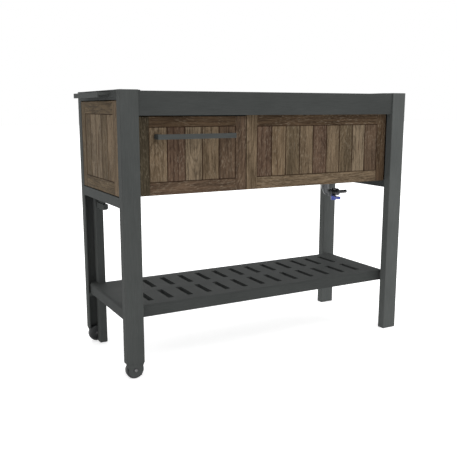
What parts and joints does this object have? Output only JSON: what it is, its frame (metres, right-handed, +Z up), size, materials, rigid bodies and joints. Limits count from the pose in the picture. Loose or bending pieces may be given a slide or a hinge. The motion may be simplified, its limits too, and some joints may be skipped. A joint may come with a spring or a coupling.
{
  "type": "potting bench",
  "caption": "Wheeled potting bench with a drawer, a sunken potting tub that drains through a valve, and a slotted lower shelf.",
  "frame": {"origin": "bottom centre of the whole bench, on the floor", "axes": "+X along the length towards the plain legs, with the wheels and the side handle at -X; the drawer front faces -Y; +Z up"},
  "size_m": [1.146, 0.43, 0.9],
  "materials": {
    "grey_resin": "dark grey moulded resin with a fine brushed texture",
    "wood_look_frames": "weathered brown oak grain, matt",
    "wood_look_planks": "weathered brown oak grain, matt, each plank a different tone",
    "inner_boards": "dark grey moulded board",
    "worktop_resin": "grey resin, lightly textured",
    "tub_resin": "dark grey moulded resin",
    "black_plastic": "black moulded fittings",
    "wheel_plastic": "black moulded wheel with a rubbed tread",
    "seal_rubber": "soft black rubber",
    "blue_plastic": "satin blue",
    "steel": "bright zinc plated",
    "slide_steel": "galvanised sheet"
  },
  "bodies": {
    "bench": {"axle_back": "steel", "axle_front": "steel", "axle_washers": "steel", "back_panel_frame": "wood_look_frames", "back_panel_planks": "wood_look_planks", "bay_wall_left": "inner_boards", "cabinet_floor": "inner_boards", "divider_wall": "inner_boards", "drain_coupling": "black_plastic", "drain_elbow": "black_plastic", "drain_flange": "black_plastic", "drain_gasket": "seal_rubber", "drain_nut": "black_plastic", "drain_strainer": "steel", "end_rail_bottom_left": "grey_resin", "end_rail_bottom_right": "grey_resin", "end_rail_top_left": "grey_resin", "end_rail_top_right": "grey_resin", "foot_glides": "black_plastic", "foot_post_back": "grey_resin", "foot_post_front": "grey_resin", "front_panel_frame": "wood_look_frames", "front_panel_planks": "wood_look_planks", "hose_tail": "black_plastic", "left_panel_frame": "wood_look_frames", "left_panel_planks": "wood_look_planks", "leg_back_left": "grey_resin", "leg_back_right": "grey_resin", "leg_front_left": "grey_resin", "leg_front_right": "grey_resin", "post_brackets": "grey_resin", "right_panel_frame": "wood_look_frames", "right_panel_planks": "wood_look_planks", "rim_back": "grey_resin", "rim_front": "grey_resin", "shelf": "grey_resin", "shelf_cleats": "grey_resin", "side_handle": "grey_resin", "side_handle_screws": "steel", "slides_outer": "slide_steel", "top_cleats": "inner_boards", "tub": "tub_resin", "valve_body": "black_plastic", "valve_bonnet": "black_plastic", "valve_union_nut": "black_plastic", "worktop": "worktop_resin"},
    "drawer": {"drawer_front_frame": "wood_look_frames", "drawer_front_planks": "wood_look_planks", "drawer_side_left": "inner_boards", "drawer_side_right": "inner_boards", "drawer_back": "inner_boards", "drawer_bottom": "inner_boards", "drawer_handle_bar": "grey_resin", "drawer_handle_ends": "grey_resin", "drawer_handle_screws": "steel", "slides_inner": "slide_steel"},
    "valve_handle": {"valve_lever": "blue_plastic", "valve_ball": "steel"},
    "front_wheel": {"wheel_front": "wheel_plastic"},
    "back_wheel": {"wheel_back": "wheel_plastic"}
  },
  "joints": [
    {"name": "drawer_slide", "type": "slide", "parent": "bench", "child": "drawer", "axis": [0, -1, 0], "range_m": [0, 0.27]},
    {"name": "valve_turn", "type": "hinge", "parent": "bench", "child": "valve_handle", "pos_m": [0.421, 0, 0.5], "axis": [0, 0, 1], "range_deg": [0, 90]},
    {"name": "front_wheel_turn", "type": "hinge", "parent": "bench", "child": "front_wheel", "pos_m": [-0.5045, -0.1985, 0.0294], "axis": [0, 1, 0], "continuous": true},
    {"name": "back_wheel_turn", "type": "hinge", "parent": "bench", "child": "back_wheel", "pos_m": [-0.5045, 0.1985, 0.0294], "axis": [0, 1, 0], "continuous": true}
  ]
}
